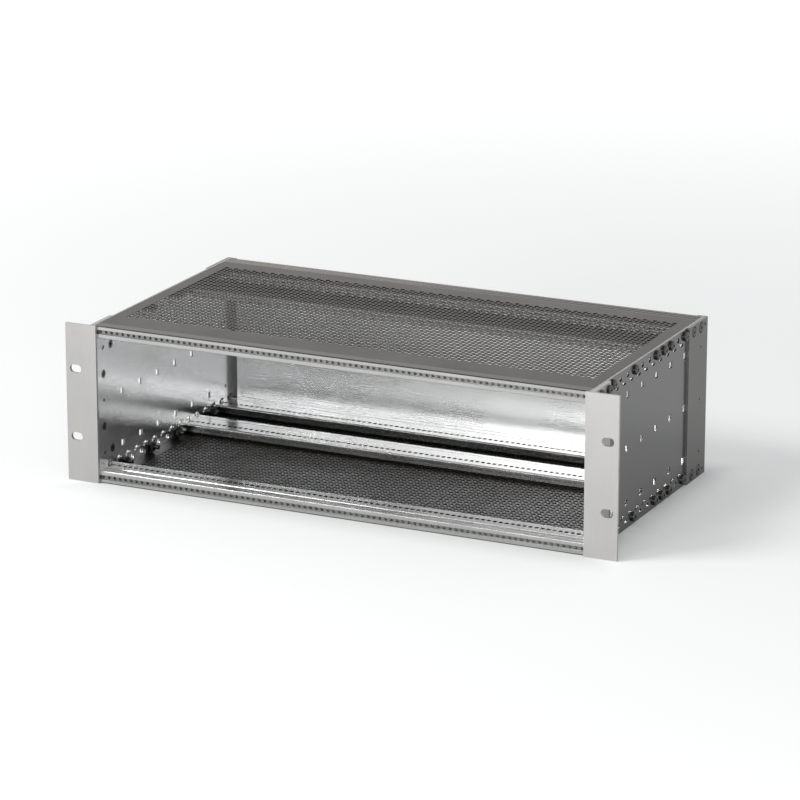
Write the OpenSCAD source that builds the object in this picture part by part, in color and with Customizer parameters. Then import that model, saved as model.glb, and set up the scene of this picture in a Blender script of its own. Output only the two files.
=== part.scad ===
// Card cage for plug-in circuit boards: 3 units high, 84 board pitches wide.
// Six extruded cross rails are screwed between two punched side panels.
// Perforated covers close it above and below and a plain panel closes the back.
// X runs across, Y runs from the open front to the back, Z runs up. Millimetres.

/* [Width] */
// Number of board pitches between the side panels
pitch_count = 84; // [40:1:84]
// Distance from one board position to the next
board_pitch = 5.08; // [4.8:0.01:5.4]
// Extra length of a rail past the board positions, both ends together
rail_spare = 5.08; // [2:0.1:8]

/* [Height and depth] */
// Outer height of the cage
cage_h = 132.5; // [125:0.5:200]
// Rows of rail holes along the top and bottom edge of a side panel
row_count = 15; // [13:1:19]
// Distance from one rail hole to the next
row_pitch = 15; // [14.6:0.1:16]
// Distance from the mounting face to the first rail hole
first_row = 16; // [16:0.1:20]
// Row that takes the first screw of the middle rails
mid_row = 9; // [7:1:9]

/* [Side panels] */
// Thickness of the side panels
side_t = 1.5; // [1:0.1:2]
// Height of the rail holes above the bottom edge, and below the top edge
row_inset = 6; // [5.9:0.1:6.3]
// Diameter of the clearance holes for the rail screws
row_hole_d = 4.5; // [4.3:0.1:5]
// Side of the square windows in the panel
window_w = 5.4; // [3:0.1:8]
// Height between two rows of windows
window_step = 44.2; // [30:0.1:46]
// Radius of the curved slots, to the middle of the slot
curve_r = 4.4; // [4:0.1:5]
// Width of the curved slots
curve_w = 2.2; // [1.2:0.1:2.6]
// Height of the centre of the curved slots above the edge of the panel
curve_z = 7.6; // [7.4:0.1:9]

/* [Mounting brackets] */
// Thickness of the bracket
angle_t = 2.5; // [2:0.1:3]
// Reach of the mounting ear past the bracket's own side leg
ear_w = 21.4; // [20:0.1:26]
// Width of the lip that covers the front edge of the side panel, inwards
lip_w = 3.9; // [1.8:0.1:4.5]
// Length of a rack slot
slot_l = 10.3; // [8:0.1:11]
// Width of a rack slot
slot_w = 6.8; // [6:0.1:7.5]
// Distance from the outer edge of the ear to the centre of its slots
slot_inset = 8.75; // [7:0.05:11]
// Height between the two slots of one ear
slot_step = 57.15; // [40:0.05:88.9]
// Radius in the corner between ear and side leg
angle_fillet = 1.5; // [0.5:0.1:3]
// Diameter of the spare holes through bracket leg and side panel
spare_d = 3.6; // [2:0.1:4]

/* [Rear panel and strips] */
// Thickness of the rear panel and of the strips' back legs
panel_t = 2.5; // [2:0.1:3]
// Thickness of the strips' side legs
strip_t = 2; // [1.5:0.1:2.5]
// Gap between the last cover screw's head and the strip
strip_gap = 0.3; // [0.2:0.1:1]
// Diameter of the holes opposite the ends of the rear threaded strips
lock_hole_d = 2.6; // [2:0.1:3]
// Reach of the strip's back leg over the rear panel's edge
strip_reach = 8.4; // [6:0.1:12]
// Gap round the rear panel
panel_gap = 0.2; // [0.1:0.05:0.5]

/* [Rails] */
// Height of a rail, from the outer face to the face that carries the boards
rail_h = 10.25; // [10.25:0.05:11]
// Distance from a screw row to the free edge of a rail
rail_edge = 3.7; // [3.4:0.1:4]
// Distance from the last screw row to the back edge of a middle rail
rail_tail = 9.9; // [8.5:0.1:10.5]
// Distance from the last screw row to the back edge of the rear rail
rear_tail = 11.9; // [11.8:0.1:14]
// Length of the board shelf of the front rail behind its first screw row
shelf_reach = 12.6; // [12.4:0.1:13]
// Thickness of the shelf
shelf_t = 1.45; // [1.2:0.05:1.6]
// Thickness of the wall beside a screw channel
rail_wall = 1.25; // [1:0.05:1.4]
// Width of the board slots in the shelf, along the rail
board_slot_w = 3.1; // [2:0.1:3.6]
// Depth of the board slots in the shelf, across the rail
board_slot_d = 3.4; // [2.4:0.1:3.6]
// Radius of the rounded edges of a rail
rail_round = 0.8; // [0.4:0.1:1]

/* [Threaded strips] */
// Height of the centre of the threaded holes above the outer face of the rail
thread_z = 5; // [4.9:0.05:5.1]
// Diameter of the threaded holes (M2.5)
thread_d = 2.5; // [2:0.1:3]
// Height of the threaded strip
insert_h = 6; // [5:0.1:6]
// Thickness of the threaded strip
insert_t = 3.2; // [2:0.1:3.3]
// Clearance round the threaded strip in its channel
insert_fit = 0.1; // [0.05:0.05:0.2]
// Thickness of the rail's lips in front of the strip
groove_lip = 1.5; // [1:0.1:1.8]
// Width of the opening between the lips
groove_w = 3.8; // [3:0.1:4.4]

/* [Covers] */
// Thickness of the covers
cover_t = 1; // [0.8:0.1:1.2]
// Distance from the mounting face to the front edge of a cover
cover_front = 12.4; // [12.3:0.1:12.6]
// Height of the folded front edge
fold_h = 2.6; // [2:0.1:2.7]
// Distance from the end of the fold to the side of the cover
fold_relief = 14; // [8:0.5:20]
// Gap round a cover
cover_gap = 0.2; // [0.1:0.05:0.3]
// Height of the screw tabs folded from the sides of a cover
tab_h = 8.9; // [8.7:0.1:9.5]
// Width of a screw tab
tab_w = 10; // [8:0.5:11]
// Spacing of the vent openings
vent_pitch = 24; // [22:0.5:40]
// Diameter of the vent openings
vent_d = 18; // [8:0.5:18]
// Plain border at the sides of the vent field
vent_side = 11.2; // [10:0.1:20]
// Plain border at the front of the vent field
vent_front = 22.6; // [20:0.1:30]
// Plain border at the back of the vent field
vent_back = 14; // [10:0.1:20]

/* [Screws] */
// Diameter of the rail and cover screws (M4)
screw_d = 4; // [3.6:0.1:4]
// Diameter of their pan heads
head_d = 8; // [7:0.1:8]
// Height of their pan heads
head_h = 2.4; // [1.8:0.1:2.6]
// Length of the rail and cover screws under the head
screw_l = 10; // [8:0.5:16]
// Clearance between a screw and its thread or bore
screw_fit = 0.05; // [0.03:0.01:0.1]
// Clearance round a head that sits in a hole of the rear strip
head_fit = 0.5; // [0.3:0.1:0.6]
// Diameter of the countersunk heads of the bracket screws
flush_head_d = 7; // [6:0.1:7.4]
// Diameter of the strip screws (M3)
strip_screw_d = 3; // [2.5:0.1:3]
// Diameter of the countersunk heads of the strip screws
strip_head_d = 5.5; // [4.5:0.1:6]
// Diameter of the countersunk heads of the rear panel screws (M2.5)
panel_head_d = 4.7; // [4:0.1:5]
// Length of the rear panel screws
panel_screw_l = 6; // [5:0.1:6.5]
// Width across the flats of the cover nuts
nut_af = 7; // [6.5:0.1:7]
// Thickness of the cover nuts
nut_t = 3.2; // [2:0.1:4]

/* [Hidden] */
$fn = 32;
eps = 0.01;

// Across: board field, rail length and the three outer planes of one side
field_w = pitch_count * board_pitch;
rail_l = field_w + rail_spare;
side_in = rail_l / 2;
side_out = side_in + side_t;
angle_out = side_out + angle_t;
ear_out = angle_out + ear_w;
strip_out = side_out + strip_t;

// Along: screw rows, rails, panel and strip, all from the mounting face
last_row = row_count - 1;
rear_row = last_row - 1;
back_in = row_y(last_row) + rear_tail;
cage_d = back_in + panel_t;
strip_front = row_y(rear_row - 1) + head_d / 2 + strip_gap;
leg_end = row_y(1) + head_d / 2;
shelf_end = row_y(0) + shelf_reach;
cover_back = row_y(last_row) - 1;
cover_half = side_in - cover_gap;
window_rows = [for (i = [2 : 2 : rear_row]) i];
window_z = [for (k = [-1 : 1]) cage_h / 2 + k * window_step];
bracket_screw_places = [
    [leg_end - 6.5, window_z[0]], [row_y(0), (window_z[0] + window_z[1]) / 2],
    [row_y(0), (window_z[1] + window_z[2]) / 2], [leg_end - 6.5, window_z[2]]];

// Rail screws sit in two rows of each rail, cover screws beside the rails
rail_rows = [0, 1, mid_row, mid_row + 1, rear_row, last_row];
cover_rows = [2, floor((mid_row + 1) / 2), mid_row - 1, rear_row - 1];

channel_d = screw_d + 2 * screw_fit;
panel_half = strip_out - strip_reach - panel_gap;
// Board positions whose threaded holes take the rear panel's screws
panel_screw_k = [1, round(pitch_count / 3), pitch_count - 1 - round(pitch_count / 3), pitch_count - 2];
insert_y = angle_t + groove_lip + insert_fit;
rear_insert_y = back_in - groove_lip - insert_fit - insert_t;
groove_in = groove_lip + insert_t + 2 * insert_fit;

function row_y(i) = first_row + i * row_pitch;
function arc(c, r, a0, a1, n = 5) =
    [for (i = [0 : n]) c + r * [cos(a0 + (a1 - a0) * i / n), sin(a0 + (a1 - a0) * i / n)]];

// Moves the drawing so that the middle of the cage's base is the origin
module seat() translate([0, -cage_d / 2, 0]) children();
// Turns a (depth, height) outline into a rail of full length along X
module along_x(l) rotate([90, 0, 90]) linear_extrude(l, center = true) children();
// Turns a piece of the bottom into the matching piece of the top
module to_top() translate([0, 0, cage_h]) mirror([0, 0, 1]) children();
// Turns a right-hand piece into the left-hand one
module to_left() mirror([1, 0, 0]) children();
// Repeats a bottom feature along the top edge as well
module both_edges() { children(); to_top() children(); }
// A round bar along +X from the plane x
module bar_x(x, y, z, d, l, fn = 32) translate([x, y, z]) rotate([0, 90, 0]) cylinder(d = d, h = l, $fn = fn);

// ---- Holes punched along the edges of the side panels ----

// Curved slot beside rail hole i, cut from plane x over thickness t
module curved_slot(i, x, t) {
    a0 = 63;
    a1 = 143;
    translate([x - 1, row_y(i) + row_pitch / 2 + 0.6, curve_z]) rotate([90, 0, 90]) {
        rotate([0, 0, a0]) rotate_extrude(angle = a1 - a0)
            translate([curve_r - curve_w / 2, 0]) square([curve_w, t + 2]);
        for (a = [a0, a1]) rotate([0, 0, a]) translate([curve_r, 0, 0])
            cylinder(d = curve_w, h = t + 2);
    }
}

// ---- Sheet side panels and the angles on them ----

module side_panel() difference() {
    translate([side_in, angle_t, 0]) cube([side_t, back_in - angle_t, cage_h]);
    both_edges() for (i = [0 : last_row]) {
        bar_x(side_in - 1, row_y(i), row_inset, row_hole_d, side_t + 2);
        curved_slot(i, side_in, side_t);
    }
    for (i = window_rows, z = window_z)
        translate([side_in - 1, row_y(i) - window_w / 2, z - window_w / 2])
            cube([side_t + 2, window_w, window_w]);
    for (p = bracket_screw_places) {
        bar_x(side_in - 1, p[0], p[1], screw_d + 2 * screw_fit, side_t + 2);
        translate([side_in, p[0], p[1]]) rotate([0, 90, 0])
            cylinder(d1 = flush_head_d + 2 * screw_fit, d2 = screw_d + 2 * screw_fit, h = side_t);
    }
    for (z = window_z) {
        bar_x(side_in - 1, row_y(last_row), z, strip_screw_d + 2 * screw_fit, side_t + 2);
        bar_x(side_in - 1, row_y(0), z, spare_d, side_t + 2);
    }
    both_edges() bar_x(side_in - 1, rear_insert_y + insert_t / 2, thread_z, lock_hole_d, side_t + 2);
}

module side_panel_left() color("silver") seat() to_left() side_panel();
module side_panel_right() color("silver") seat() side_panel();

// Extruded angle: mounting ear in front, leg along the outside of the side panel
module rack_bracket() difference() {
    linear_extrude(cage_h) union() {
        translate([side_out - lip_w, 0]) square([ear_out - side_out + lip_w, angle_t]);
        translate([side_out, 0]) square([angle_t, leg_end]);
        difference() {
            translate([angle_out, angle_t]) square(angle_fillet);
            translate([angle_out, angle_t] + angle_fillet * [1, 1]) circle(angle_fillet);
        }
    }
    for (s = [-1, 1]) translate([ear_out - slot_inset, 0, cage_h / 2 + s * slot_step / 2])
        rack_slot();
    both_edges() {
        for (i = [0, 1]) {
            bar_x(side_out - 1, row_y(i), row_inset, row_hole_d, angle_t + 2);
            curved_slot(i, side_out, angle_t);
        }
    }
    for (p = bracket_screw_places) bar_x(side_out - 1, p[0], p[1], channel_d, angle_t + 2);
    for (z = window_z) bar_x(side_out - 1, row_y(0), z, spare_d, angle_t + 2);
}

module rack_slot() {
    e = (slot_l - slot_w) / 2;
    for (s = [-1, 1]) translate([s * e, -1, 0]) rotate([-90, 0, 0]) cylinder(d = slot_w, h = angle_t + 2);
    translate([-e, -1, -slot_w / 2]) cube([2 * e, angle_t + 2, slot_w]);
}

module rack_bracket_left() color("gainsboro") seat() to_left() rack_bracket();
module rack_bracket_right() color("gainsboro") seat() rack_bracket();

// Extruded angle that covers the back edge of the side panel
module rear_strip() difference() {
    linear_extrude(cage_h) union() {
        translate([side_out, strip_front]) square([strip_t, cage_d - strip_front]);
        translate([strip_out - strip_reach, back_in]) square([strip_reach, panel_t]);
    }
    both_edges() {
        for (i = [rear_row, last_row])
            bar_x(side_out - 1, row_y(i), row_inset, head_d + 2 * head_fit, strip_t + 2);
        bar_x(side_out - 1, rear_insert_y + insert_t / 2, thread_z, lock_hole_d, strip_t + 2);
    }
    for (z = window_z) {
        bar_x(side_out - 1, row_y(last_row), z, strip_screw_d + 2 * screw_fit, strip_t + 2);
        strip_cone(z, 2 * screw_fit);
    }
}

// Countersink of a strip screw, grown by g on the diameter
module strip_cone(z, g) {
    h = (strip_head_d - strip_screw_d) / 2;
    translate([strip_out - h, row_y(last_row), z]) rotate([0, 90, 0])
        cylinder(d1 = strip_screw_d + g, d2 = strip_head_d + g, h = h);
}

module rear_strip_left() color("gray") seat() to_left() rear_strip();
module rear_strip_right() color("gray") seat() rear_strip();

// ---- Extruded rails, drawn as the bottom ones ----

// Channel that holds a threaded strip: mouth at y = 0, opening towards -Y
module insert_channel() {
    translate([-1, thread_z - groove_w / 2]) square([groove_lip + 2, groove_w]);
    translate([groove_lip, thread_z - insert_h / 2 - insert_fit])
        square([groove_in - groove_lip, insert_h + 2 * insert_fit]);
}

// Bore for a self-tapping screw, along the whole rail
module screw_channel(i) translate([row_y(i), row_inset]) circle(d = channel_d);

// Hollow under the shelf between the two screw channels of a rail
module shelf_hollow(i, far_wall = 0) {
    y0 = row_y(i) + channel_d / 2 + rail_wall;
    y1 = row_y(i + 1) - channel_d / 2 - rail_wall;
    translate([y0, cover_t + rail_wall]) square([y1 - y0, rail_h - shelf_t - cover_t - rail_wall]);
}

// One slot for each board position, through the shelf at depth y
module board_slots(y) for (k = [0 : pitch_count - 1])
    translate([board_x(k) - board_slot_w / 2, y - board_slot_d / 2, rail_h - shelf_t - 0.5])
        cube([board_slot_w, board_slot_d, shelf_t + 1]);

function board_x(k) = (k - (pitch_count - 1) / 2) * board_pitch;
function slot_y(i) = row_y(i) + channel_d / 2 + rail_wall + board_slot_d / 2 + 0.1;

module front_rail() difference() {
    along_x(rail_l) difference() {
        front_rail_outline();
        translate([angle_t, 0]) insert_channel();
        for (i = [0, 1]) screw_channel(i);
        shelf_hollow(0);
    }
    board_slots(slot_y(0));
}

// Nose with the threaded strip in front, shelf behind it, low ledge at the back
module front_rail_outline() {
    f = angle_t;
    r = rail_round;
    e = row_y(1) + rail_edge;
    ledge = row_inset + channel_d / 2 + 0.4;
    fold_y = cover_front + cover_t + cover_gap;
    polygon(concat(
        arc([f + r, r], r, 270, 180),
        arc([f + r, rail_h - r], r, 180, 90),
        [[f + 4, rail_h], [f + 4.5, rail_h - 0.5], [f + 10, rail_h - 0.5], [f + 10.5, rail_h]],
        arc([shelf_end - r / 2, rail_h - r / 2], r / 2, 90, 0),
        [[shelf_end, ledge], [e, ledge], [e, cover_t],
         [fold_y, cover_t], [fold_y, fold_h + cover_t], [cover_front - cover_gap, fold_h + cover_t],
         [cover_front - cover_gap, 0]]));
}

module mid_rail() difference() {
    along_x(rail_l) difference() {
        shelf_outline(mid_row, row_y(mid_row + 1) + rail_tail, []);
        for (i = [mid_row, mid_row + 1]) screw_channel(i);
        shelf_hollow(mid_row);
    }
    board_slots(slot_y(mid_row));
}

// Overhanging front nose, shelf, locating groove, square back, then the points of a foot
module shelf_outline(i, back, foot) {
    y0 = row_y(i) - rail_edge;
    r = 1.2;
    g = row_y(i + 1) + channel_d / 2 + rail_wall;
    polygon(concat(
        [[y0 + 0.9, cover_t], [y0 + 0.9, rail_h - 4], [y0, rail_h - 3.2]],
        arc([y0 + r, rail_h - r], r, 180, 90),
        [[g, rail_h], [g + 0.3, rail_h - 0.8], [g + 1.1, rail_h - 0.8], [g + 1.4, rail_h]],
        arc([back - rail_round, rail_h - rail_round], rail_round, 90, 0),
        foot == [] ? [[back, cover_t]] : foot));
}

module rear_rail() difference() {
    along_x(rail_l) difference() {
        shelf_outline(rear_row, back_in, rear_foot());
        translate([back_in, 0]) mirror([1, 0]) insert_channel();
        for (i = [rear_row, last_row]) screw_channel(i);
        shelf_hollow(rear_row);
    }
    board_slots(slot_y(rear_row));
}

// Foot of the rear rail: it stands past the cover, flush with it, and has two shallow grooves
function rear_foot(depth = 0.6) = let (y0 = cover_back + cover_gap) concat(
    [[back_in, 0]],
    [for (y = [8.6, 4.2]) each [[y0 + y, 0], [y0 + y - 0.3, depth], [y0 + y - 1.3, depth], [y0 + y - 1.6, 0]]],
    [[y0, 0], [y0, cover_t]]);

module front_rail_top() color("silver") seat() to_top() front_rail();
module front_rail_bottom() color("silver") seat() front_rail();
module mid_rail_top() color("silver") seat() to_top() mid_rail();
module mid_rail_bottom() color("silver") seat() mid_rail();
module rear_rail_top() color("silver") seat() to_top() rear_rail();
module rear_rail_bottom() color("silver") seat() rear_rail();

// ---- Threaded strips that slide into the rails, one hole per board position ----

module insert(y0) difference() {
    translate([-field_w / 2, y0, thread_z - insert_h / 2]) cube([field_w, insert_t, insert_h]);
    for (k = [0 : pitch_count - 1]) translate([board_x(k), y0 - 1, thread_z])
        rotate([-90, 0, 0]) cylinder(d = thread_d, h = insert_t + 2, $fn = 24);
}

module front_insert_top() color("darkgray") seat() to_top() insert(insert_y);
module front_insert_bottom() color("darkgray") seat() insert(insert_y);
module rear_insert_top() color("darkgray") seat() to_top() insert(rear_insert_y);
module rear_insert_bottom() color("darkgray") seat() insert(rear_insert_y);

// ---- Perforated covers, drawn as the bottom one ----

module cover() difference() {
    union() {
        translate([-cover_half, cover_front, 0])
            cube([2 * cover_half, cover_back - cover_front, cover_t]);
        // front edge folded into the groove of the front rail
        translate([-cover_half + fold_relief, cover_front, 0])
            cube([2 * (cover_half - fold_relief), cover_t, cover_t + fold_h - cover_gap]);
        for (s = [0, 1], i = cover_rows) mirror([s, 0, 0])
            translate([cover_half - cover_t, row_y(i) - tab_w / 2, 0])
                cube([cover_t, tab_w, tab_h]);
    }
    vents();
    // relief holes at the ends of the fold
    for (s = [-1, 1]) translate([s * (cover_half - fold_relief), cover_front, -1])
        cylinder(d = 2, h = cover_t + fold_h + 2, $fn = 24);
    for (s = [0, 1], i = cover_rows) mirror([s, 0, 0])
        bar_x(cover_half - cover_t - 1, row_y(i), row_inset, row_hole_d, cover_t + 2);
}

// Staggered round openings, every second column set half a pitch back
module vents() {
    w = 2 * (cover_half - vent_side);
    d = cover_back - cover_front - vent_front - vent_back;
    col = vent_pitch * sin(60);
    nx = floor((w - vent_d) / col) + 1;
    ny = floor((d - vent_d) / vent_pitch) + 1;
    mid_y = cover_front + vent_front + d / 2;
    for (i = [0 : nx - 1], j = [0 : ny - 1 - i % 2])
        translate([(i - (nx - 1) / 2) * col, mid_y + (j - (ny - 1 - i % 2) / 2) * vent_pitch, -1])
            cylinder(d = vent_d, h = cover_t + 2, $fn = 24);
}

module top_cover() color("dimgray") seat() to_top() cover();
module bottom_cover() color("dimgray") seat() cover();

// ---- Rear panel between the back legs of the rear strips ----

module rear_panel() color("silver") seat() difference() {
    translate([-panel_half, back_in, panel_gap])
        cube([2 * panel_half, panel_t, cage_h - 2 * panel_gap]);
    both_edges() for (k = panel_screw_k) panel_screw(k, 2 * screw_fit, panel_t + 1);
}

// Countersunk screw of the rear panel, grown by g on the diameter, l long
module panel_screw(k, g, l) {
    h = (panel_head_d - thread_d) / 2;
    translate([board_x(k), cage_d, thread_z]) rotate([90, 0, 0]) {
        cylinder(d1 = panel_head_d + g, d2 = thread_d - 2 * screw_fit + g, h = h);
        cylinder(d = thread_d - 2 * screw_fit + g, h = l);
    }
}

module rear_panel_screws() color("gray") seat() both_edges()
    for (k = panel_screw_k) difference() {
        panel_screw(k, 0, panel_screw_l);
        translate([board_x(k), cage_d - 0.8, thread_z]) rotate([-90, 0, 0])
            cylinder(d = 1.6, h = 1, $fn = 6);
    }

// ---- Screws and nuts ----

// Pan-head screw pointing inwards, its head standing on the plane x
module pan_screw(x, y, z) difference() {
    union() {
        bar_x(x - screw_l, y, z, screw_d, screw_l + 0.1);
        translate([x, y, z]) rotate([0, 90, 0]) rotate_extrude()
            polygon(concat([[0, 0], [head_d / 2, 0]],
                arc([head_d / 2 - 1.2, head_h - 1.2], 1.2, 0, 90), [[0, head_h]]));
    }
    // cross recess
    for (a = [0, 90]) translate([x + head_h - 1.2, y, z]) rotate([a, 0, 0])
        translate([0, -head_d / 4, -0.4]) cube([2, head_d / 2, 0.8]);
}

module rail_screws() both_edges() for (i = rail_rows)
    pan_screw(i < 2 ? angle_out : side_out, row_y(i), row_inset);
module rail_screws_left() color("gainsboro") seat() to_left() rail_screws();
module rail_screws_right() color("gainsboro") seat() rail_screws();

module cover_screws() both_edges() for (i = cover_rows) pan_screw(side_out, row_y(i), row_inset);
module cover_screws_left() color("gainsboro") seat() to_left() cover_screws();
module cover_screws_right() color("gainsboro") seat() cover_screws();

// Hexagon nut behind each cover tab
module cover_nuts() both_edges() for (i = cover_rows) difference() {
    bar_x(cover_half - cover_t - nut_t, row_y(i), row_inset, nut_af / cos(30), nut_t, 6);
    bar_x(cover_half - cover_t - nut_t - 1, row_y(i), row_inset, channel_d, nut_t + 2);
}
module cover_nuts_left() color("darkgray") seat() to_left() cover_nuts();
module cover_nuts_right() color("darkgray") seat() cover_nuts();

// Countersunk screw from inside the cage into the bracket leg
module bracket_screws() for (p = bracket_screw_places) difference() {
    union() {
        bar_x(side_in, p[0], p[1], screw_d, side_t + angle_t);
        translate([side_in, p[0], p[1]]) rotate([0, 90, 0])
            cylinder(d1 = flush_head_d, d2 = screw_d, h = side_t);
    }
    translate([side_in - 1, p[0], p[1]]) rotate([0, 90, 0]) cylinder(d = 2.5, h = 2.2, $fn = 6);
}
module bracket_screws_left() color("dimgray") seat() to_left() bracket_screws();
module bracket_screws_right() color("dimgray") seat() bracket_screws();

// Countersunk screw from outside through the strip into the side panel
module strip_screws() for (z = window_z) difference() {
    union() {
        bar_x(side_in, row_y(last_row), z, strip_screw_d, side_t + strip_t);
        strip_cone(z, 0);
    }
    translate([strip_out - 1.2, row_y(last_row), z]) rotate([0, 90, 0])
        cylinder(d = 2, h = 2, $fn = 6);
}
module strip_screws_left() color("dimgray") seat() to_left() strip_screws();
module strip_screws_right() color("dimgray") seat() strip_screws();

side_panel_left();
side_panel_right();
rack_bracket_left();
rack_bracket_right();
rear_strip_left();
rear_strip_right();
front_rail_top();
front_rail_bottom();
mid_rail_top();
mid_rail_bottom();
rear_rail_top();
rear_rail_bottom();
front_insert_top();
front_insert_bottom();
rear_insert_top();
rear_insert_bottom();
top_cover();
bottom_cover();
rear_panel();
rail_screws_left();
rail_screws_right();
cover_screws_left();
cover_screws_right();
cover_nuts_left();
cover_nuts_right();
bracket_screws_left();
bracket_screws_right();
strip_screws_left();
strip_screws_right();
rear_panel_screws();
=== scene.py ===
import math
import bmesh
import bpy
from mathutils import Matrix, Vector


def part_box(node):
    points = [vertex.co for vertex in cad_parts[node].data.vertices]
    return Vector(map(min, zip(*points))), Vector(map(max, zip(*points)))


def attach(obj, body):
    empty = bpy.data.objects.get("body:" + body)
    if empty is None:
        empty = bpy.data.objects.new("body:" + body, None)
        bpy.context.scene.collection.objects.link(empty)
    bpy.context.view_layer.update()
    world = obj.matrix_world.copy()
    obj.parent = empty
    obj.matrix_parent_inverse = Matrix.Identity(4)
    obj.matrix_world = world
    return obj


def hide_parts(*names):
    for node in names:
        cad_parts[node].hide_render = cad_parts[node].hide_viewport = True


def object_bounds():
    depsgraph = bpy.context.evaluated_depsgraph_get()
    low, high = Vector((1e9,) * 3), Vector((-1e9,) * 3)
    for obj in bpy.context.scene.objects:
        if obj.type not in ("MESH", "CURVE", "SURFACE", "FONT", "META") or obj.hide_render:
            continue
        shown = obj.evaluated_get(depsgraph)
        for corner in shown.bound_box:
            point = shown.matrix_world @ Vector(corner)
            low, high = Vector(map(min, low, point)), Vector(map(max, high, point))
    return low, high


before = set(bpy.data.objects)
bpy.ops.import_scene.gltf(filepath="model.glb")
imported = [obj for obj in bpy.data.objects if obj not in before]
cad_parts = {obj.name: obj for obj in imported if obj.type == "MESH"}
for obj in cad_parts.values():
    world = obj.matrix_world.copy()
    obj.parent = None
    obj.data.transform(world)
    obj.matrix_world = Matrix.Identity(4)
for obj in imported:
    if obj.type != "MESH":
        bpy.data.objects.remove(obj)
cad_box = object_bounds()

# ---- Camera ----
# It stands in front of the open side, to the right of it and higher, and looks
# back over the cage through a long lens.
camera_data = bpy.data.cameras.new("camera")
camera_data.lens = 182.45
camera_data.sensor_width = 36.0
camera_data.clip_end = 30.0
camera = bpy.data.objects.new("camera", camera_data)
camera.location = (1.35308, -2.84605, 1.01208)
camera.rotation_euler = (math.radians(90.0 - 16.7139), 0.0, math.radians(25.4214))
bpy.context.scene.collection.objects.link(camera)
bpy.context.scene.camera = camera
bpy.context.scene.view_settings.view_transform = "Standard"

# ---- Studio floor, sky and lamps ----
# A white floor that keeps the cage's soft shadow, and a white surround for the camera
# and for what the metal mirrors. One large soft lamp stands on the left, and two
# small ones stand low in front and light the inside of the cage.


def math_node(tree, operation, first, second=None, third=None, clamp=False):
    """A Math node whose inputs are sockets or plain numbers; returns its output."""
    node = tree.nodes.new("ShaderNodeMath")
    node.operation = operation
    node.use_clamp = clamp
    for value, socket in zip((first, second, third), node.inputs):
        if isinstance(value, (int, float)):
            socket.default_value = value
        elif value is not None:
            tree.links.new(value, socket)
    return node.outputs[0]


def seen_directly(tree):
    """A value of 1 for camera, glossy and transmission rays, and 0 for the rest."""
    path = tree.nodes.new("ShaderNodeLightPath")
    either = math_node(tree, "MAXIMUM", path.outputs["Is Camera Ray"], path.outputs["Is Glossy Ray"])
    return math_node(tree, "MAXIMUM", either, path.outputs["Is Transmission Ray"])


def smooth_rise(tree, value, start, end, top):
    """Rises smoothly from 0 to top while the value goes from start to end."""
    rise = tree.nodes.new("ShaderNodeMapRange")
    rise.interpolation_type = "SMOOTHSTEP"
    rise.inputs["From Min"].default_value = start
    rise.inputs["From Max"].default_value = end
    rise.inputs["To Min"].default_value = 0.0
    rise.inputs["To Max"].default_value = top
    tree.links.new(value, rise.inputs["Value"])
    return rise.outputs[0]


world = bpy.data.worlds.new("surround")
bpy.context.scene.world = world
world.use_nodes = True
sky = world.node_tree
sky.nodes.clear()
sky_out = sky.nodes.new("ShaderNodeOutputWorld")
sky_white = sky.nodes.new("ShaderNodeBackground")
sky_white.inputs["Color"].default_value = (1.0, 1.0, 1.0, 1.0)
sky_white.inputs["Strength"].default_value = 1.0
sky_light = sky.nodes.new("ShaderNodeBackground")
sky_light.inputs["Color"].default_value = (0.97, 0.985, 1.0, 1.0)
sky_light.inputs["Strength"].default_value = 0.5
sky_mix = sky.nodes.new("ShaderNodeMixShader")
sky.links.new(seen_directly(sky), sky_mix.inputs["Fac"])
sky.links.new(sky_light.outputs[0], sky_mix.inputs[1])
sky.links.new(sky_white.outputs[0], sky_mix.inputs[2])
sky.links.new(sky_mix.outputs[0], sky_out.inputs["Surface"])

floor_mesh = bpy.data.meshes.new("floor")
floor_shape = bmesh.new()
bmesh.ops.create_grid(floor_shape, x_segments=1, y_segments=1, size=8.0)
floor_shape.to_mesh(floor_mesh)
floor_shape.free()
floor = bpy.data.objects.new("floor", floor_mesh)
bpy.context.scene.collection.objects.link(floor)

floor_paint = bpy.data.materials.new("floor_white")
floor_paint.use_nodes = True
floor_tree = floor_paint.node_tree
floor_tree.nodes.clear()
floor_out = floor_tree.nodes.new("ShaderNodeOutputMaterial")
floor_matt = floor_tree.nodes.new("ShaderNodeBsdfDiffuse")
floor_matt.inputs["Color"].default_value = (0.72, 0.72, 0.72, 1.0)
floor_glow = floor_tree.nodes.new("ShaderNodeEmission")
floor_glow.inputs["Color"].default_value = (1.0, 1.0, 1.0, 1.0)
floor_place = floor_tree.nodes.new("ShaderNodeTexCoord").outputs["Object"]
# The glow that keeps the floor white stops under the cage, where no light reaches ...
along = floor_tree.nodes.new("ShaderNodeSeparateXYZ")
floor_tree.links.new(floor_place, along.inputs[0])
beside_x = smooth_rise(floor_tree, math_node(floor_tree, "ABSOLUTE", along.outputs[0]), 0.192, 0.252, 0.28)
beside_y = smooth_rise(floor_tree, math_node(floor_tree, "ABSOLUTE", along.outputs[1]), 0.096, 0.156, 0.28)
beside = math_node(floor_tree, "MAXIMUM", beside_x, beside_y)
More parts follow.
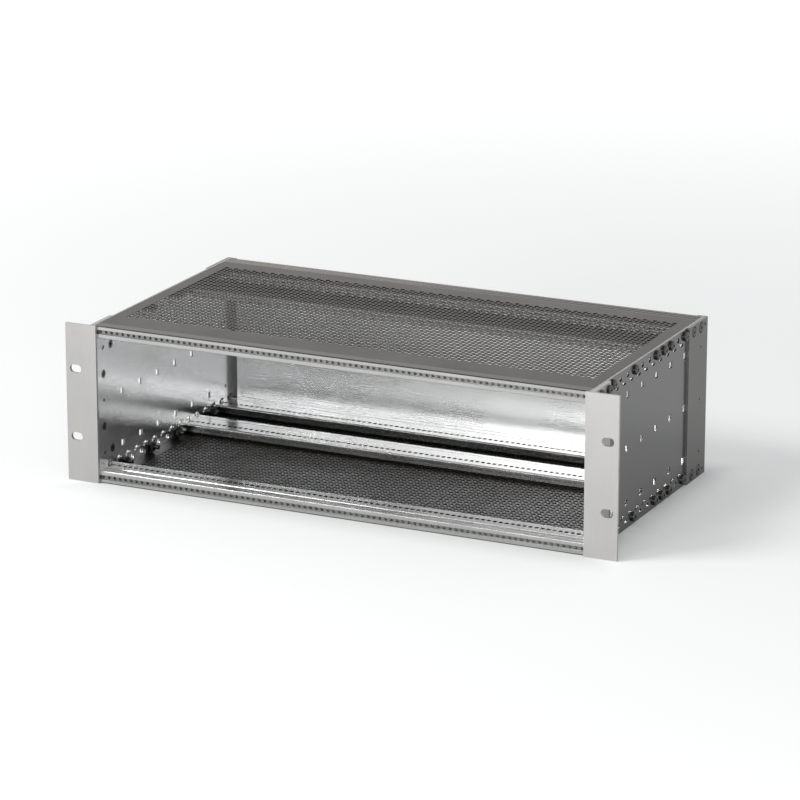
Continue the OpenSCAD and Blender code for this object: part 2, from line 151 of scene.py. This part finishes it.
# ... and it grows far from the cage, where the lamps reach less.
from_cage = floor_tree.nodes.new("ShaderNodeVectorMath")
from_cage.operation = "LENGTH"
floor_tree.links.new(floor_place, from_cage.inputs[0])
far = smooth_rise(floor_tree, from_cage.outputs["Value"], 0.4, 2.4, 0.45)
glow = math_node(floor_tree, "MULTIPLY", seen_directly(floor_tree), math_node(floor_tree, "ADD", beside, far))
floor_tree.links.new(glow, floor_glow.inputs["Strength"])
floor_sum = floor_tree.nodes.new("ShaderNodeAddShader")
floor_tree.links.new(floor_matt.outputs[0], floor_sum.inputs[0])
floor_tree.links.new(floor_glow.outputs[0], floor_sum.inputs[1])
floor_tree.links.new(floor_sum.outputs[0], floor_out.inputs["Surface"])
floor.data.materials.append(floor_paint)


def soft_lamp(name, place, aim, size, power):
    """A square area lamp at a place, turned towards an aim."""
    data = bpy.data.lights.new(name, "AREA")
    data.shape = "SQUARE"
    data.size = size
    data.energy = power
    lamp = bpy.data.objects.new(name, data)
    lamp.location = place
    lamp.rotation_euler = (Vector(aim) - Vector(place)).to_track_quat("-Z", "Y").to_euler()
    bpy.context.scene.collection.objects.link(lamp)


soft_lamp("key_lamp", (-1.7, -1.7, 2.3), (0.0, 0.0, 0.05), 1.3, 62.0)
soft_lamp("front_lamp", (-0.45, -2.3, 0.45), (0.1, 0.1, 0.07), 0.7, 19.0)
soft_lamp("low_lamp", (1.15, -2.3, 0.27), (-0.2, 0.1, 0.07), 0.5, 13.0)

# ---- Side panels ----
# Two punched sheets of 1.5 mm aluminium that carry every rail. The mill's rolling
# lines run from front to back; the inside is bright, and the outside is painted dark,
# a painted shade that stands in for the dark reflection on the outer faces.
cage_middle = (Vector(cad_box[0]) + Vector(cad_box[1])) / 2


def new_group(name, inputs, outputs):
    """An empty shader group with named sockets; returns it with its two end nodes."""
    group = bpy.data.node_groups.new(name, "ShaderNodeTree")
    for label, kind in inputs:
        group.interface.new_socket(name=label, in_out="INPUT", socket_type="NodeSocket" + kind)
    for label, kind in outputs:
        group.interface.new_socket(name=label, in_out="OUTPUT", socket_type="NodeSocket" + kind)
    return group, group.nodes.new("NodeGroupInput"), group.nodes.new("NodeGroupOutput")


def vector_node(tree, operation, first, second):
    """A Vector Math node fed by two sockets."""
    node = tree.nodes.new("ShaderNodeVectorMath")
    node.operation = operation
    tree.links.new(first, node.inputs[0])
    tree.links.new(second, node.inputs[1])
    return node


def noise_node(tree, place, detail):
    """A Noise texture read at a place."""
    node = tree.nodes.new("ShaderNodeTexNoise")
    node.inputs["Detail"].default_value = detail
    tree.links.new(place, node.inputs["Vector"])
    return node


# Fine lines drawn along one direction, soft clouds, and small specks.
grain, grain_in, grain_out = new_group(
    "drawn_grain",
    [("Vector", "Vector"), ("Stretch", "Vector"), ("Cloud Scale", "Float")],
    [("Lines", "Float"), ("Clouds", "Float"), ("Specks", "Float")])
stretched = vector_node(grain, "MULTIPLY", grain_in.outputs["Vector"], grain_in.outputs["Stretch"])
line_noise = noise_node(grain, stretched.outputs[0], 3.0)
line_noise.inputs["Scale"].default_value = 1.0
line_noise.inputs["Roughness"].default_value = 0.65
cloud_noise = noise_node(grain, grain_in.outputs["Vector"], 2.0)
grain.links.new(grain_in.outputs["Cloud Scale"], cloud_noise.inputs["Scale"])
speck_noise = noise_node(grain, grain_in.outputs["Vector"], 1.0)
speck_noise.inputs["Scale"].default_value = 900.0
grain.links.new(line_noise.outputs["Fac"], grain_out.inputs["Lines"])
grain.links.new(cloud_noise.outputs["Fac"], grain_out.inputs["Clouds"])
grain.links.new(speck_noise.outputs["Fac"], grain_out.inputs["Specks"])

# 1 where the metal lies further than Reach from Centre along Axis, else 0: the faces
# whose colour is painted shade, or on the rear panel the plain back beside its painted light.
outer_side, outer_side_in, outer_side_out = new_group(
    "outer_side_mask",
    [("Vector", "Vector"), ("Centre", "Vector"), ("Axis", "Vector"), ("Reach", "Float")],
    [("Outside", "Float")])
from_centre = vector_node(outer_side, "SUBTRACT", outer_side_in.outputs["Vector"], outer_side_in.outputs["Centre"])
along_axis = vector_node(outer_side, "DOT_PRODUCT", from_centre.outputs[0], outer_side_in.outputs["Axis"])
distance = math_node(outer_side, "ABSOLUTE", along_axis.outputs["Value"])
outer_side.links.new(math_node(outer_side, "GREATER_THAN", distance, outer_side_in.outputs["Reach"]), outer_side_out.inputs["Outside"])

# Bare, rubbed metal along the edges of a box from Low to High; Skip adds to the
# distance along an axis whose faces aren't edges, such as a sheet's thickness.
wear, wear_in, wear_out = new_group(
    "rubbed_edges",
    [("Vector", "Vector"), ("Low", "Vector"), ("High", "Vector"), ("Skip", "Vector"), ("Width", "Float")],
    [("Rubbed", "Float")])
above = vector_node(wear, "SUBTRACT", wear_in.outputs["Vector"], wear_in.outputs["Low"])
below = vector_node(wear, "SUBTRACT", wear_in.outputs["High"], wear_in.outputs["Vector"])
nearest = vector_node(wear, "MINIMUM", above.outputs[0], below.outputs[0])
skipped = vector_node(wear, "ADD", nearest.outputs[0], wear_in.outputs["Skip"])
depths = wear.nodes.new("ShaderNodeSeparateXYZ")
wear.links.new(skipped.outputs[0], depths.inputs[0])
closest = math_node(wear, "MINIMUM", depths.outputs[0], depths.outputs[1])
closest = math_node(wear, "MINIMUM", closest, depths.outputs[2])
edge_noise = noise_node(wear, wear_in.outputs["Vector"], 3.0)
edge_noise.inputs["Scale"].default_value = 260.0
ragged = math_node(
    wear, "ADD", math_node(wear, "DIVIDE", closest, wear_in.outputs["Width"]), edge_noise.outputs["Fac"])
wear.links.new(math_node(wear, "SUBTRACT", 1.5, ragged, clamp=True), wear_out.inputs["Rubbed"])


def metal(name, inside, outside, roughness, stretch, axis, reach, bump=0.04, edges=None, cloud_scale=16.0):
    """Aluminium or plated steel: inside and outside colours, drawn lines, clouds and rubbed edges."""
    paint = bpy.data.materials.new(name)
    paint.use_nodes = True
    tree = paint.node_tree
    shader = tree.nodes["Principled BSDF"]
    shader.inputs["Metallic"].default_value = 1.0
    place = tree.nodes.new("ShaderNodeTexCoord").outputs["Object"]

    lines = tree.nodes.new("ShaderNodeGroup")
    lines.node_tree = grain
    lines.inputs["Stretch"].default_value = stretch
    lines.inputs["Cloud Scale"].default_value = cloud_scale
    tree.links.new(place, lines.inputs["Vector"])

    side = tree.nodes.new("ShaderNodeGroup")
    side.node_tree = outer_side
    side.inputs["Centre"].default_value = cage_middle
    side.inputs["Axis"].default_value = axis
    side.inputs["Reach"].default_value = reach
    tree.links.new(place, side.inputs["Vector"])

    # the inside and outside colours: the outside is painted shade on the side panels, rails and covers, and
    # the rear panel's inside is painted light
    side_colours = tree.nodes.new("ShaderNodeMix")
    side_colours.data_type = "RGBA"
    side_colours.inputs[6].default_value = (*inside, 1.0)
    side_colours.inputs[7].default_value = (*outside, 1.0)
    tree.links.new(side.outputs["Outside"], side_colours.inputs[0])
    colour = side_colours.outputs[2]

    if edges is not None:
        rub = tree.nodes.new("ShaderNodeGroup")
        rub.node_tree = wear
        for label, value in edges.items():
            rub.inputs[label].default_value = value
        tree.links.new(place, rub.inputs["Vector"])
        bare = tree.nodes.new("ShaderNodeMix")
        bare.data_type = "RGBA"
        bare.inputs[7].default_value = (0.72, 0.71, 0.70, 1.0)
        tree.links.new(math_node(tree, "MULTIPLY", rub.outputs["Rubbed"], 0.18), bare.inputs[0])
        tree.links.new(colour, bare.inputs[6])
        colour = bare.outputs[2]

    # the lines and clouds lighten and darken the metal a little
    tone = math_node(tree, "MULTIPLY_ADD", lines.outputs["Lines"], 0.16, 0.84)
    cloudy = math_node(tree, "MULTIPLY_ADD", lines.outputs["Clouds"], 0.16, 0.92)
    toned = tree.nodes.new("ShaderNodeVectorMath")
    toned.operation = "SCALE"
    tree.links.new(colour, toned.inputs[0])
    tree.links.new(math_node(tree, "MULTIPLY", tone, cloudy), toned.inputs["Scale"])
    tree.links.new(toned.outputs[0], shader.inputs["Base Color"])

    # they make it a little rougher too
    rough = math_node(tree, "MULTIPLY_ADD", lines.outputs["Clouds"], 0.14, roughness - 0.1)
    rough = math_node(tree, "MULTIPLY_ADD", lines.outputs["Lines"], 0.08, rough)
    tree.links.new(rough, shader.inputs["Roughness"])

    relief = tree.nodes.new("ShaderNodeBump")
    relief.inputs["Strength"].default_value = bump
    relief.inputs["Distance"].default_value = 0.0005
    height = math_node(tree, "MULTIPLY_ADD", lines.outputs["Specks"], 0.35, lines.outputs["Lines"])
    tree.links.new(height, relief.inputs["Height"])
    tree.links.new(relief.outputs[0], shader.inputs["Normal"])
    return paint


def finish_node(name, paint):
    """Gives a CAD node its finish."""
    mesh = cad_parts[name].data
    mesh.materials.clear()
    mesh.materials.append(paint)


def box_edges(name, skip, width):
    """The inputs that the rubbed edges of one node need."""
    corner_low, corner_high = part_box(name)
    return {"Low": corner_low, "High": corner_high, "Skip": skip, "Width": width}


bright = (0.80, 0.805, 0.81)
# painted shade: the outer faces are painted dark; the metal is the same aluminium as the inside
side_painted_shade = (0.150, 0.150, 0.148)
outer_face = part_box("side_panel_right")[1].x
side_shade_depth = 0.0013
for side in ("left", "right"):
    name = "side_panel_" + side
    finish_node(name, metal(
        "side_sheet_" + side, bright, side_painted_shade, 0.21, (2600.0, 30.0, 2600.0), (1.0, 0.0, 0.0),
        outer_face - side_shade_depth, bump=0.015, edges=box_edges(name, (1.0, 0.0, 0.0), 0.0006)))

# ---- Rack brackets ----
# Extruded angles, 2.5 mm thick, with a satin anodised face; screws from inside
# the cage hold them to the side panels, and two slots in each take the rack's screws.
# One finish covers them all round, so their Reach lies beyond every face.
satin = (0.420, 0.415, 0.407)
no_shaded_side = 1.0
for side in ("left", "right"):
    name = "rack_bracket_" + side
    finish_node(name, metal(
        "ear_satin_" + side, satin, satin, 0.46, (3000.0, 3000.0, 60.0), (1.0, 0.0, 0.0), no_shaded_side,
        bump=0.03, edges=box_edges(name, (0.0, 1.0, 0.0), 0.0005)))

# ---- Rear strips ----
# Extruded angles over the back edges of the side panels, with clearance holes
# for the rail screws' heads and three countersunk screws each.
strip_grey = (0.165, 0.165, 0.160)
for side in ("left", "right"):
    name = "rear_strip_" + side
    finish_node(name, metal(
        "strip_satin_" + side, strip_grey, strip_grey, 0.40, (3000.0, 3000.0, 60.0), (1.0, 0.0, 0.0), no_shaded_side,
        bump=0.03, edges=box_edges(name, (1.0, 0.0, 0.0), 0.0005)))

# ---- Cross rails ----
# Six aluminium extrusions. The die leaves lines along the rail, the outer faces are
# painted the same dark brown as the covers, a painted shade, which on the middle and
# rear rails is the shade under the covers; the front rails' noses and the shelves are bright.
bare_extrusion = (0.50, 0.50, 0.495)
# painted shade: the dark brown of the covers' and rails' outer faces
brown_painted_shade = (0.045, 0.040, 0.036)
cage_half_height = cage_middle.z
for node, shade_depth in (("front_rail", 0.0008), ("mid_rail", 0.0035), ("rear_rail", 0.0035)):
    for level in ("top", "bottom"):
        name = node + "_" + level
        finish_node(name, metal(
            name + "_extruded", bare_extrusion, brown_painted_shade, 0.17, (25.0, 3800.0, 3800.0),
            (0.0, 0.0, 1.0), cage_half_height - shade_depth, bump=0.03))

# ---- Threaded strips ----
# Zinc-plated steel bars in the rails' channels with one M2.5 hole for each board.
strip_zinc = (0.22, 0.22, 0.215)
for node in ("front_insert", "rear_insert"):
    for level in ("top", "bottom"):
        name = node + "_" + level
        finish_node(name, metal(
            name + "_zinc", strip_zinc, strip_zinc, 0.34, (120.0, 900.0, 900.0), (0.0, 0.0, 1.0), no_shaded_side,
            bump=0.08, cloud_scale=120.0))

# ---- Perforated covers ----
# One sheet of aluminium above and one below, punched with 4 mm holes in a staggered
# pattern. The front edge is folded into the rail, and screw tabs hang at the sides.
# The lower sheet shows its full 1 mm and the upper one 0.6 mm, so that light comes through.
hole_pitch = 0.005
hole_r = 0.00195
column_step = hole_pitch * math.sin(math.radians(60.0))
hole_columns = 95
hole_rows = 35
sheet_t = 0.001
upper_share = 0.6
back_border = 0.0145
fold_drop = 0.0034
fold_half = 0.2017
tab_half = 0.0056
tab_places = [cad_box[0][1] + y for y in (0.046, 0.091, 0.136, 0.196)]
near = 1e-5


def new_verts(result):
    """The verts among what a bmesh operator has made."""
    return [part for part in result["geom"] if isinstance(part, bmesh.types.BMVert)]


def moved_copy(shape, geometry, x, y):
    """Copies this much of the sheet to a place further along it."""
    copy = bmesh.ops.duplicate(shape, geom=geometry)
    bmesh.ops.translate(shape, verts=new_verts(copy), vec=(x, y, 0.0))


def between(verts):
    """The verts with the edges and faces that lie wholly between them."""
    kept = set(verts)
    edges = {edge for vert in verts for edge in vert.link_edges if all(end in kept for end in edge.verts)}
    faces = {face for vert in verts for face in vert.link_faces if all(end in kept for end in face.verts)}
    return list(verts) + list(edges) + list(faces)


def punched_field(shape):
    """The round holes in their staggered rows, with the sheet between them."""
    # one punched cell: a six-cornered outline joined to its round hole
    outline = bmesh.ops.create_circle(shape, cap_ends=False, segments=6, radius=hole_pitch / math.sqrt(3.0),
                                      matrix=Matrix.Rotation(math.radians(30.0), 4, "Z"))
    for vert in outline["verts"]:
        vert.co.x = math.copysign(column_step / 2, vert.co.x)
    bmesh.ops.create_circle(shape, cap_ends=False, segments=10, radius=hole_r,
                            matrix=Matrix.Rotation(math.radians(18.0), 4, "Z"))
    bmesh.ops.bridge_loops(shape, edges=shape.edges[:])
    cell = shape.verts[:] + shape.edges[:] + shape.faces[:]
    # a full column, and beside it the staggered one with a plain half cell at each end
    for row in range(1, hole_rows):
        moved_copy(shape, cell, 0.0, row * hole_pitch)
    for row in range(hole_rows - 1):
        moved_copy(shape, cell, column_step, (row + 0.5) * hole_pitch)
    for y in (-hole_pitch / 4, (hole_rows - 1) * hole_pitch + hole_pitch / 4):
        half = bmesh.ops.create_grid(shape, x_segments=1, y_segments=1, size=1.0)
        bmesh.ops.scale(shape, verts=half["verts"], vec=(column_step / 2, hole_pitch / 4, 1.0))
        bmesh.ops.translate(shape, verts=half["verts"], vec=(column_step, y, 0.0))
    pair = shape.verts[:] + shape.edges[:] + shape.faces[:]
    first_column = [vert for vert in shape.verts if vert.co.x < column_step / 2 + 1e-6]
    moved_copy(shape, between(first_column), (hole_columns - 1) * column_step, 0.0)
    for step in range(1, (hole_columns - 1) // 2):
        moved_copy(shape, pair, 2 * step * column_step, 0.0)
    bmesh.ops.remove_doubles(shape, verts=shape.verts[:], dist=near)


def on_outline(edge, field_x, field_front, field_back):
    """True for an edge on the outline of the punched field, not on a hole."""
    ends = [vert.co for vert in edge.verts]
    return (all(abs(abs(end.x) - field_x) < near for end in ends)
            or all(abs(end.y - field_front) < near for end in ends)
            or all(abs(end.y - field_back) < near for end in ends))


def drop_edges(shape, edges, depth):
    """Folds a strip of sheet down from these edges."""
    strip = bmesh.ops.extrude_edge_only(shape, edges=edges)
    bmesh.ops.translate(shape, verts=new_verts(strip), vec=(0.0, 0.0, -depth))


def perforated_sheet(name, node, upside_down):
    """The cover as its outer face, which a modifier gives its thickness inwards."""
    corner_low, corner_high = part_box(node)
    reach_x = corner_high.x
    front = corner_low.y
    back = corner_high.y
    cage_top = cad_box[1][2]
    field_x = hole_columns * column_step / 2
    field_back = back - back_border
    field_front = field_back - hole_rows * hole_pitch
    shape = bmesh.new()
    punched_field(shape)
    bmesh.ops.translate(shape, verts=shape.verts[:], vec=(
        -(hole_columns - 1) * column_step / 2, field_front + hole_pitch / 2, cage_top))
    # the plain border, drawn outwards from the edge of the punched field
    rim = [edge for edge in shape.edges if edge.is_boundary and on_outline(
        edge, field_x, field_front, field_back)]
    border = bmesh.ops.extrude_edge_only(shape, edges=rim)
    for vert in new_verts(border):
        if abs(abs(vert.co.x) - field_x) < near:
            vert.co.x = math.copysign(reach_x, vert.co.x)
        if abs(vert.co.y - field_front) < near:
            vert.co.y = front
        elif abs(vert.co.y - field_back) < near:
            vert.co.y = back
    # the folded front edge between the corners, and the tabs at the sides
    bends = [edge for edge in shape.edges if edge.is_boundary
             and all(abs(vert.co.y - front) < near and abs(vert.co.x) < fold_half for vert in edge.verts)]
    drop_edges(shape, bends, fold_drop)
    for tab_y in tab_places:
        for side_x in (-reach_x, reach_x):
            bends = [edge for edge in shape.edges if edge.is_boundary
                     and all(abs(vert.co.x - side_x) < near and abs(vert.co.y - tab_y) < tab_half
                             for vert in edge.verts)]
            drop_edges(shape, bends, corner_high.z - corner_low.z)
    if upside_down:
        bmesh.ops.scale(shape, verts=shape.verts[:], vec=(1.0, 1.0, -1.0))
        bmesh.ops.translate(shape, verts=shape.verts[:], vec=(0.0, 0.0, cage_top))
    # the faces look out of the cage, so that the thickness goes inwards
    bmesh.ops.recalc_face_normals(shape, faces=shape.faces[:])
    shape.normal_update()
    largest = max(shape.faces, key=lambda face: face.calc_area())
    if (largest.normal.z > 0) == upside_down:
        bmesh.ops.reverse_faces(shape, faces=shape.faces[:])
    mesh = bpy.data.meshes.new(name)
    shape.to_mesh(mesh)
    shape.free()
    sheet = bpy.data.objects.new(name, mesh)
    bpy.context.scene.collection.objects.link(sheet)
    wall = sheet.modifiers.new("sheet thickness", "SOLIDIFY")
    wall.thickness = sheet_t if upside_down else upper_share * sheet_t
    wall.offset = -1.0
    wall.use_even_offset = True
    return sheet


# painted shade: the covers' inside faces are painted dark for the shade inside the cage, and their outside
# takes the rails' painted dark brown
cover_inside_painted_shade = (0.060, 0.059, 0.057)
cover_shade_depth = 0.0002
for level, upside_down in (("top", False), ("bottom", True)):
    node = level + "_cover"
    sheet = perforated_sheet(node + "_sheet", node, upside_down)
    sheet.data.materials.append(metal(
        node + "_painted_shade", cover_inside_painted_shade, brown_painted_shade, 0.34, (30.0, 2600.0, 2600.0), (0.0, 0.0, 1.0),
        cage_half_height - cover_shade_depth, bump=0.04))
    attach(sheet, "root")
    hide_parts(node)

# ---- Rear panel ----
# A 2.5 mm sheet between the rear strips, screwed to the rear threaded strips. Its
# inside is painted brighter than its back, a painted light for the light it catches;
# the back is a plain brushed face.
rear_inside_painted_light = (0.95, 0.955, 0.96)
rear_plain = (0.50, 0.50, 0.495)
rear_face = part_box("rear_panel")[1].y
rear_back_depth = 0.0004
finish_node("rear_panel", metal(
    "rear_sheet", rear_inside_painted_light, rear_plain, 0.26, (28.0, 2600.0, 2600.0), (0.0, 1.0, 0.0),
    rear_face - rear_back_depth, bump=0.008,
    edges=box_edges("rear_panel", (0.0, 1.0, 0.0), 0.0006), cloud_scale=9.0))

# ---- Screws and nuts ----
# Plated steel: black pan heads on the side panels, duller countersunk heads in the
# brackets, the strips and the rear panel, and hexagon nuts behind the covers' tabs.
black_zinc = (0.085, 0.084, 0.080)
dull_zinc = (0.13, 0.128, 0.124)
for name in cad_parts:
    if "screws" in name or "nuts" in name:
        colour = black_zinc if name.startswith(("rail", "cover")) else dull_zinc
        finish_node(name, metal(
            name + "_zinc", colour, colour, 0.24, (900.0, 900.0, 900.0), (0.0, 0.0, 1.0), no_shaded_side,
            bump=0.08, cloud_scale=180.0))
